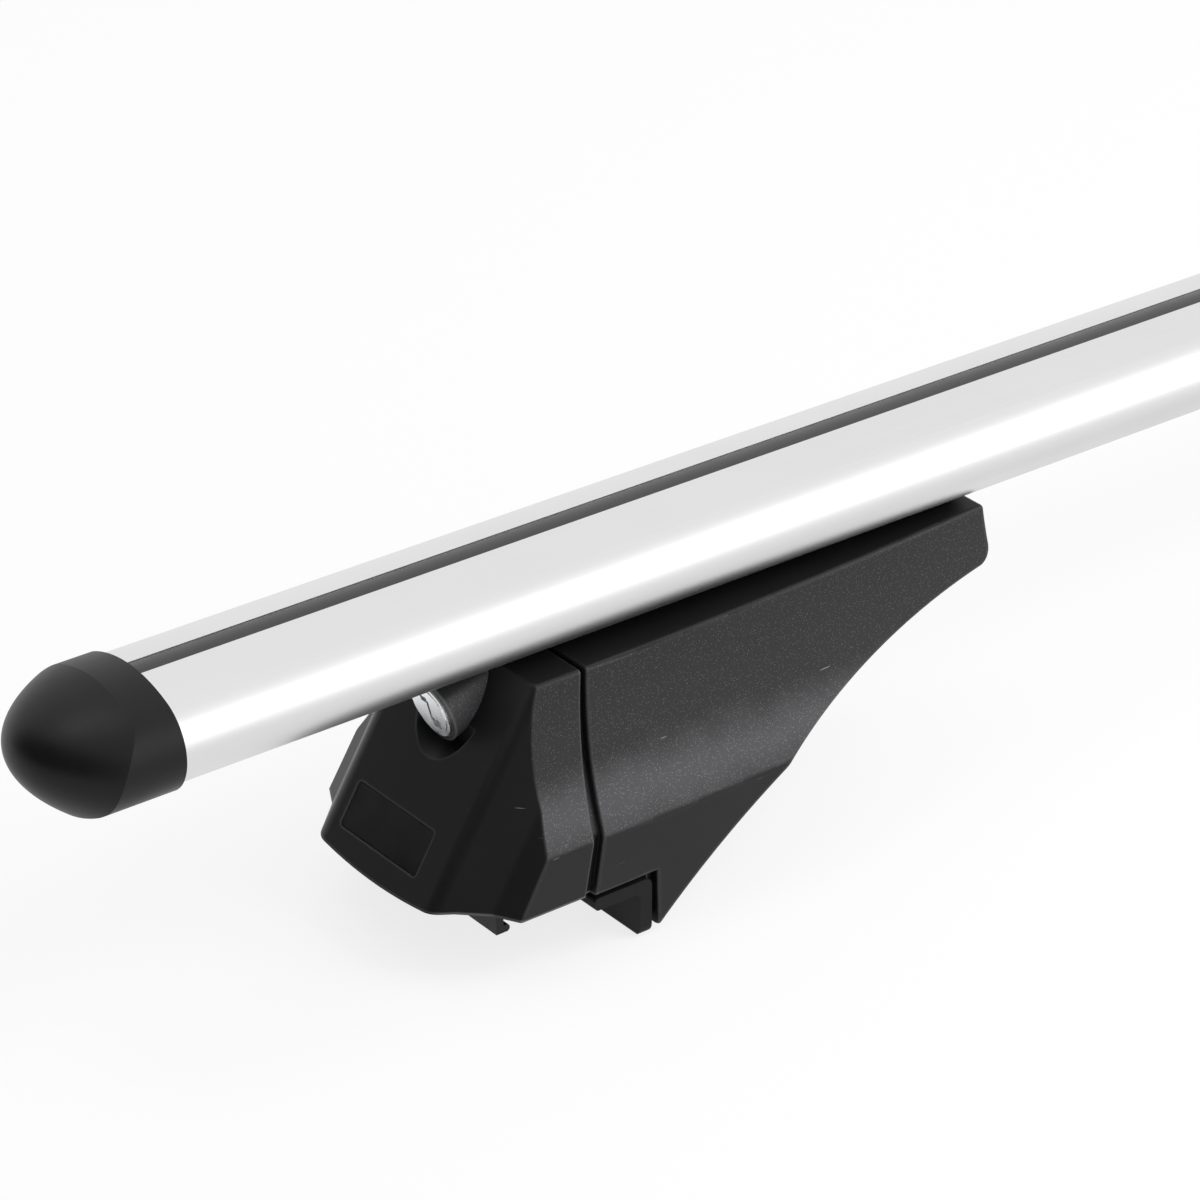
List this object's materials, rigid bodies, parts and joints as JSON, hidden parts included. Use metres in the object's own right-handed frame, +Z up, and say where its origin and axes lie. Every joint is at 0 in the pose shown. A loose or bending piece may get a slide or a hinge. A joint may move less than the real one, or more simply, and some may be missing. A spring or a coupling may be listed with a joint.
{
  "type": "roof rack crossbar",
  "caption": "Oval aluminium crossbar with rounded end caps on clamp feet with lockable covers, for carrying loads on a car's flush roof rails.",
  "frame": {"origin": "under the middle of the bar, on the level of the lowest edge of the feet's pads", "axes": "+X along the bar, +Y along the vehicle, +Z up"},
  "size_m": [1.2524, 0.1132, 0.1373],
  "materials": {
    "bar_aluminium": "satin anodised",
    "strip_rubber": "matte",
    "cap_plastic": "satin black",
    "foot_plastic": "fine grained black",
    "plate": "smooth black",
    "lock_chrome": "bright",
    "zinc_steel": "zinc plated",
    "black_steel": "black powder coat",
    "pad_rubber": "matte"
  },
  "bodies": {
    "bar": {"bar_extrusion": "bar_aluminium", "slot_strip": "strip_rubber", "end_cap_left": "cap_plastic", "end_cap_right": "cap_plastic"},
    "foot_left": {"foot_housing_left": "foot_plastic", "jaw_pad_left": "pad_rubber", "foot_bracket_left": "zinc_steel", "clamp_nut_left": "zinc_steel", "bar_bolts_left": "zinc_steel", "bar_washers_left": "zinc_steel", "bar_nuts_left": "zinc_steel"},
    "cover_left": {"end_cover_left": "foot_plastic", "name_plate_left": "plate", "lock_barrel_left": "lock_chrome"},
    "lock_left": {"lock_plug_left": "lock_chrome", "lock_cam_left": "zinc_steel"},
    "claw_left": {"rail_claw_left": "black_steel", "clamp_washer_left": "zinc_steel"},
    "screw_left": {"clamp_bolt_left": "zinc_steel"},
    "foot_right": {"foot_housing_right": "foot_plastic", "jaw_pad_right": "pad_rubber", "foot_bracket_right": "zinc_steel", "clamp_nut_right": "zinc_steel", "bar_bolts_right": "zinc_steel", "bar_washers_right": "zinc_steel", "bar_nuts_right": "zinc_steel"},
    "cover_right": {"end_cover_right": "foot_plastic", "name_plate_right": "plate", "lock_barrel_right": "lock_chrome"},
    "lock_right": {"lock_plug_right": "lock_chrome", "lock_cam_right": "zinc_steel"},
    "claw_right": {"rail_claw_right": "black_steel", "clamp_washer_right": "zinc_steel"},
    "screw_right": {"clamp_bolt_right": "zinc_steel"}
  },
  "joints": [
    {"name": "foot_left_slide", "type": "slide", "parent": "bar", "child": "foot_left", "axis": [1, 0, 0], "range_m": [-0.03, 0.06]},
    {"name": "cover_left_pull", "type": "slide", "parent": "foot_left", "child": "cover_left", "axis": [-1, 0, 0], "range_m": [0, 0.075]},
    {"name": "lock_left_turn", "type": "hinge", "parent": "cover_left", "child": "lock_left", "pos_m": [-0.46572, 0, 0.0806], "axis": [-0.9613, 0, -0.2756], "range_deg": [0, 90]},
    {"name": "claw_left_slide", "type": "slide", "parent": "foot_left", "child": "claw_left", "axis": [1, 0, 0], "range_m": [0, 0.012]},
    {"name": "screw_left_turn", "type": "hinge", "parent": "claw_left", "child": "screw_left", "pos_m": [-0.4651, 0, 0.0387], "axis": [1, 0, 0], "range_deg": [0, 3456]},
    {"name": "foot_right_slide", "type": "slide", "parent": "bar", "child": "foot_right", "axis": [-1, 0, 0], "range_m": [-0.03, 0.06]},
    {"name": "cover_right_pull", "type": "slide", "parent": "foot_right", "child": "cover_right", "axis": [1, 0, 0], "range_m": [0, 0.075]},
    {"name": "lock_right_turn", "type": "hinge", "parent": "cover_right", "child": "lock_right", "pos_m": [0.46572, 0, 0.0806], "axis": [0.9613, 0, -0.2756], "range_deg": [0, 90]},
    {"name": "claw_right_slide", "type": "slide", "parent": "foot_right", "child": "claw_right", "axis": [-1, 0, 0], "range_m": [0, 0.012]},
    {"name": "screw_right_turn", "type": "hinge", "parent": "claw_right", "child": "screw_right", "pos_m": [0.4651, 0, 0.0387], "axis": [-1, 0, 0], "range_deg": [0, 3456]}
  ],
  "couplings": [
    {"joint": "screw_left_turn", "follows": "claw_left_slide", "rad_per_m": 5026.5},
    {"joint": "screw_right_turn", "follows": "claw_right_slide", "rad_per_m": 5026.5}
  ]
}
